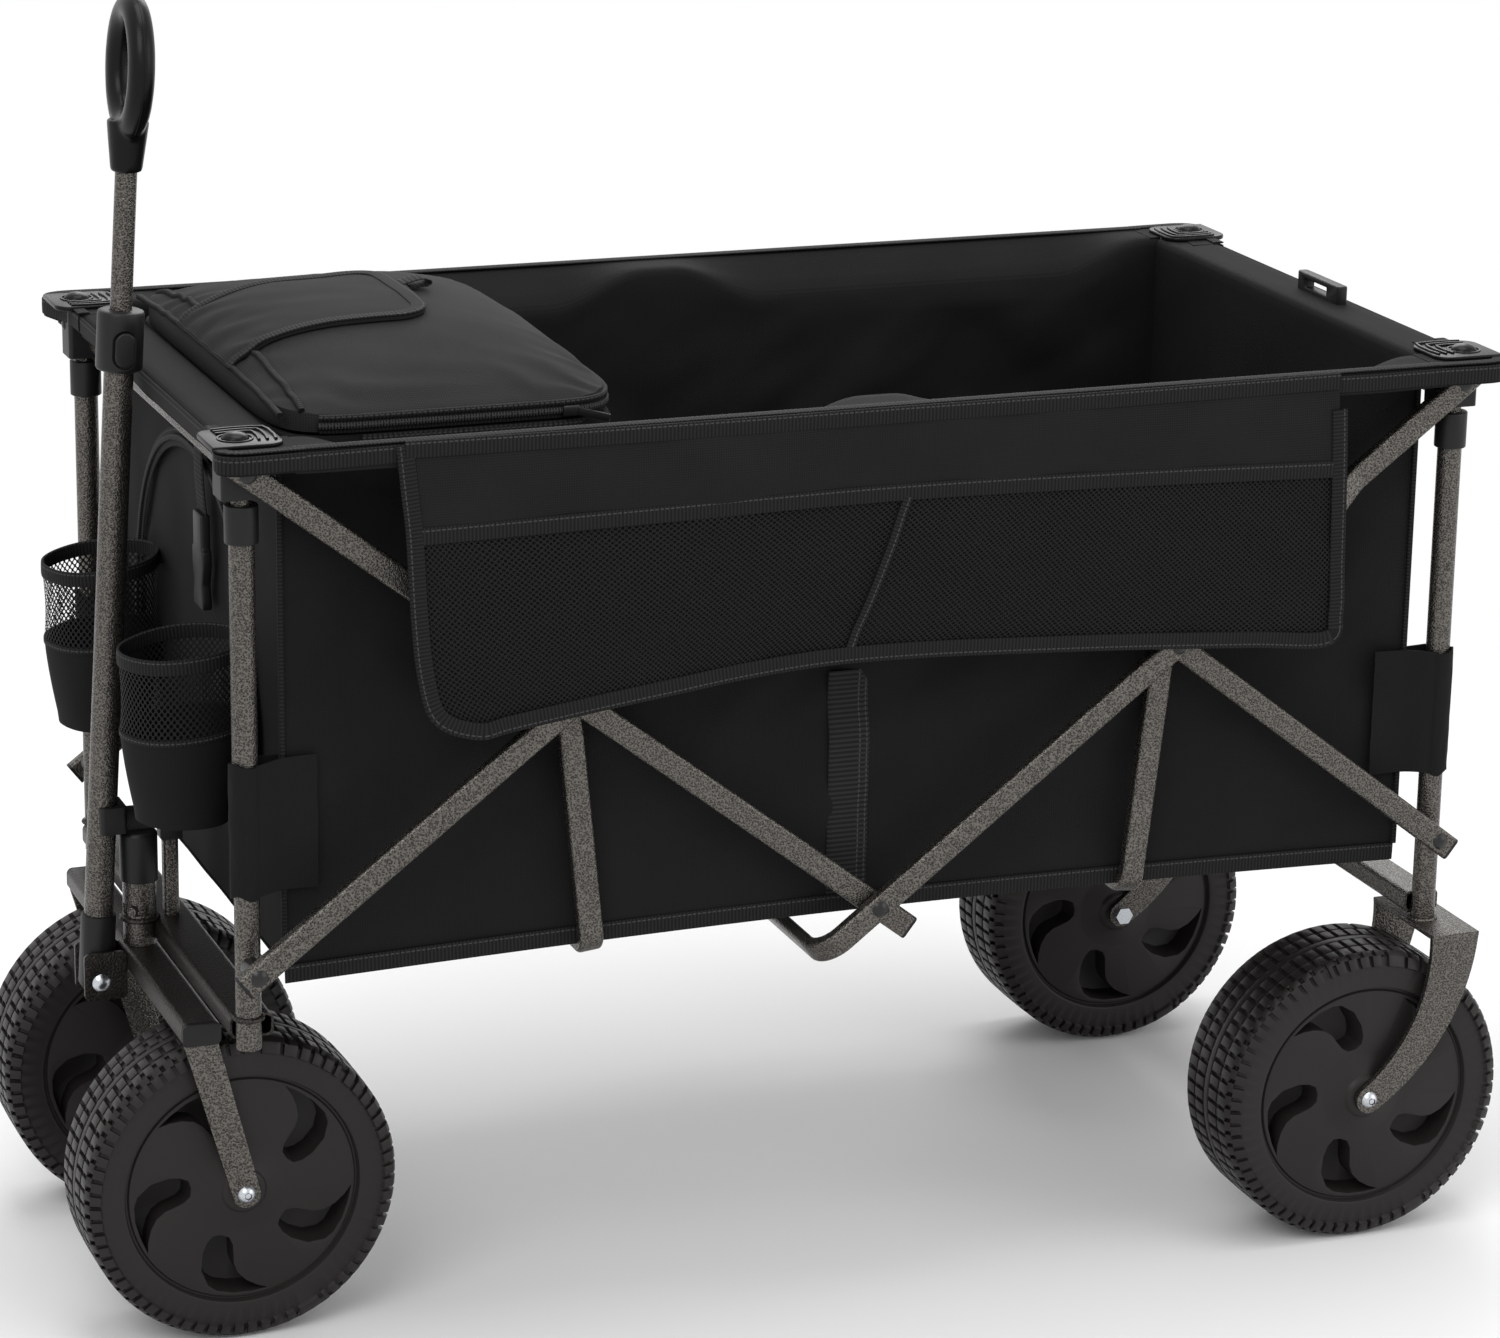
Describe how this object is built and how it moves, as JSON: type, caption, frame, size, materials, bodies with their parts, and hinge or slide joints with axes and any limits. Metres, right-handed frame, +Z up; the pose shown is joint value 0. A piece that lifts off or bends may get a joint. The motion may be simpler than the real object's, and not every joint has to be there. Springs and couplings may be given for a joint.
{
  "type": "folding wagon with pull handle",
  "caption": "Folding wagon: fabric bag with a padded cooler on a scissor frame, four wide wheels, a steered front axle and a telescoping pull handle.",
  "frame": {"origin": "on the ground, below the middle of the wagon's outer box", "axes": "+Z up, +X to the rear, the pull handle at the -X end, -Y the side with the hanging pocket"},
  "size_m": [0.963, 0.488, 0.846],
  "materials": {
    "hammertone": "hammertone powder coat",
    "zinc": "bright zinc plate",
    "black_plastic": "satin moulded",
    "gloss_plastic": "smooth moulded",
    "rivet_black": "gloss black",
    "wheel_plastic": "satin blow-moulded",
    "black_cloth": "woven polyester",
    "mesh_cloth": "open mesh",
    "board": "cloth over hardboard"
  },
  "bodies": {
    "front_frame": {"front_legs": "hammertone", "front_leg_collars": "black_plastic", "front_cross_tube": "hammertone", "kingpin_tube": "hammertone", "kingpin_cap": "black_plastic", "keeper_post": "hammertone", "handle_keeper": "black_plastic"},
    "steering": {"steering_beam": "hammertone", "beam_end_caps": "black_plastic", "front_wheel_arms": "hammertone", "kingpin_shaft": "hammertone", "handle_ears": "hammertone", "front_bolts": "zinc"},
    "front_wheel_near": {"front_wheel_near": "wheel_plastic"},
    "front_wheel_far": {"front_wheel_far": "wheel_plastic"},
    "handle": {"handle_socket": "black_plastic", "handle_lower_tube": "hammertone", "handle_collar": "black_plastic"},
    "handle_upper": {"handle_upper_tube": "hammertone", "handle_grip": "gloss_plastic"},
    "collar_button": {"collar_button": "black_plastic"},
    "front_rising_bars": {"front_rising_bars": "hammertone", "front_rising_plugs": "black_plastic", "front_rising_rivets": "rivet_black"},
    "front_falling_bars": {"front_falling_bars": "hammertone", "front_falling_plugs": "black_plastic"},
    "rear_falling_bars": {"rear_falling_bars": "hammertone", "rear_falling_plugs": "black_plastic", "rear_falling_rivets": "rivet_black"},
    "rear_rising_frame": {"rear_rising_frame": "hammertone", "rear_rising_plugs": "black_plastic", "rear_rising_rivets": "rivet_black"},
    "front_support": {"front_floor_support": "hammertone"},
    "rear_support": {"rear_floor_support": "hammertone"},
    "front_top": {"front_heads": "black_plastic", "front_inner_posts": "hammertone", "front_top_tube": "hammertone", "front_corner_caps": "gloss_plastic", "front_head_rivets": "rivet_black", "bag_front_wall": "black_cloth", "cup_holders": "mesh_cloth", "cooler_box": "black_cloth", "bag_body": "black_cloth", "base_board": "board", "near_pocket": "mesh_cloth"},
    "cooler_lid": {"cooler_lid": "black_cloth"},
    "lid_flap": {"lid_flap": "black_cloth"},
    "rear_top": {"rear_heads": "black_plastic", "rear_inner_posts": "hammertone", "rear_top_tube": "hammertone", "rear_corner_caps": "gloss_plastic", "bag_rear_wall": "black_cloth", "rim_latch": "black_plastic"},
    "rear_frame": {"rear_legs": "hammertone", "rear_leg_collars": "black_plastic", "rear_cross_tube": "hammertone", "rear_forks": "hammertone", "rear_bolts": "zinc"},
    "rear_wheel_near": {"rear_wheel_near": "wheel_plastic"},
    "rear_wheel_far": {"rear_wheel_far": "wheel_plastic"}
  },
  "joints": [
    {"name": "fold", "type": "hinge", "parent": "front_frame", "child": "front_rising_bars", "pos_m": [-0.388, 0, 0.275], "axis": [0, -1, 0], "range_deg": [0, 35.5], "deforming": ["bag_body", "base_board", "near_pocket"]},
    {"name": "front_crossing", "type": "hinge", "parent": "front_rising_bars", "child": "front_falling_bars", "pos_m": [-0.183, 0, 0.4325], "axis": [0, -1, 0], "range_deg": [-72, 1]},
    {"name": "top_centre", "type": "hinge", "parent": "front_rising_bars", "child": "rear_falling_bars", "pos_m": [0.022, 0, 0.59], "axis": [0, -1, 0], "range_deg": [-72, 1]},
    {"name": "rear_crossing", "type": "hinge", "parent": "rear_falling_bars", "child": "rear_rising_frame", "pos_m": [0.227, 0, 0.4325], "axis": [0, -1, 0], "range_deg": [-1, 72]},
    {"name": "rear_foot", "type": "hinge", "parent": "rear_falling_bars", "child": "rear_frame", "pos_m": [0.432, 0, 0.275], "axis": [0, -1, 0], "range_deg": [-1, 36.5]},
    {"name": "front_head_pivot", "type": "hinge", "parent": "front_falling_bars", "child": "front_top", "pos_m": [-0.388, 0, 0.59], "axis": [0, -1, 0], "range_deg": [-1, 36.5]},
    {"name": "rear_head_pivot", "type": "hinge", "parent": "rear_rising_frame", "child": "rear_top", "pos_m": [0.432, 0, 0.59], "axis": [0, -1, 0], "range_deg": [-36.5, 1]},
    {"name": "front_support_pivot", "type": "hinge", "parent": "front_rising_bars", "child": "front_support", "pos_m": [-0.183, 0, 0.4325], "axis": [0, -1, 0], "range_deg": [-36.5, 1]},
    {"name": "rear_support_pivot", "type": "hinge", "parent": "rear_falling_bars", "child": "rear_support", "pos_m": [0.227, 0, 0.4325], "axis": [0, -1, 0], "range_deg": [-1, 36.5]},
    {"name": "steering", "type": "hinge", "parent": "front_frame", "child": "steering", "pos_m": [-0.407, 0, 0.24], "axis": [0, 0, 1], "range_deg": [-36, 36]},
    {"name": "front_wheel_near_spin", "type": "hinge", "parent": "steering", "child": "front_wheel_near", "pos_m": [-0.379, -0.116, 0.1025], "axis": [0, 1, 0], "continuous": true},
    {"name": "front_wheel_far_spin", "type": "hinge", "parent": "steering", "child": "front_wheel_far", "pos_m": [-0.379, 0.116, 0.1025], "axis": [0, 1, 0], "continuous": true},
    {"name": "rear_wheel_near_spin", "type": "hinge", "parent": "rear_frame", "child": "rear_wheel_near", "pos_m": [0.379, -0.198, 0.1025], "axis": [0, 1, 0], "continuous": true},
    {"name": "rear_wheel_far_spin", "type": "hinge", "parent": "rear_frame", "child": "rear_wheel_far", "pos_m": [0.379, 0.198, 0.1025], "axis": [0, 1, 0], "continuous": true},
    {"name": "handle_swing", "type": "hinge", "parent": "steering", "child": "handle", "pos_m": [-0.437, 0, 0.202], "axis": [0, -1, 0], "range_deg": [0, 104], "deforming": ["handle_keeper"]},
    {"name": "handle_slide", "type": "slide", "parent": "handle", "child": "handle_upper", "axis": [0.0593, 0, 0.9982], "range_m": [-0.085, 0.19]},
    {"name": "button_press", "type": "slide", "parent": "handle", "child": "collar_button", "axis": [0, 1, 0], "range_m": [0, 0.0025], "stiffness_N_per_m": 400},
    {"name": "lid_lift", "type": "hinge", "parent": "front_top", "child": "cooler_lid", "pos_m": [-0.3597, 0, 0.6123], "axis": [0, -1, 0], "range_deg": [0, 80]},
    {"name": "flap_lift", "type": "hinge", "parent": "cooler_lid", "child": "lid_flap", "pos_m": [-0.3587, 0, 0.6133], "axis": [0, -1, 0], "range_deg": [0, 75]}
  ],
  "couplings": [
    {"joint": "front_crossing", "follows": "fold", "ratio": -2},
    {"joint": "top_centre", "follows": "fold", "ratio": -2},
    {"joint": "rear_crossing", "follows": "fold", "ratio": 2},
    {"joint": "rear_foot", "follows": "fold", "ratio": 1},
    {"joint": "front_head_pivot", "follows": "fold", "ratio": 1},
    {"joint": "rear_head_pivot", "follows": "fold", "ratio": -1},
    {"joint": "front_support_pivot", "follows": "fold", "ratio": -1},
    {"joint": "rear_support_pivot", "follows": "fold", "ratio": 1}
  ]
}
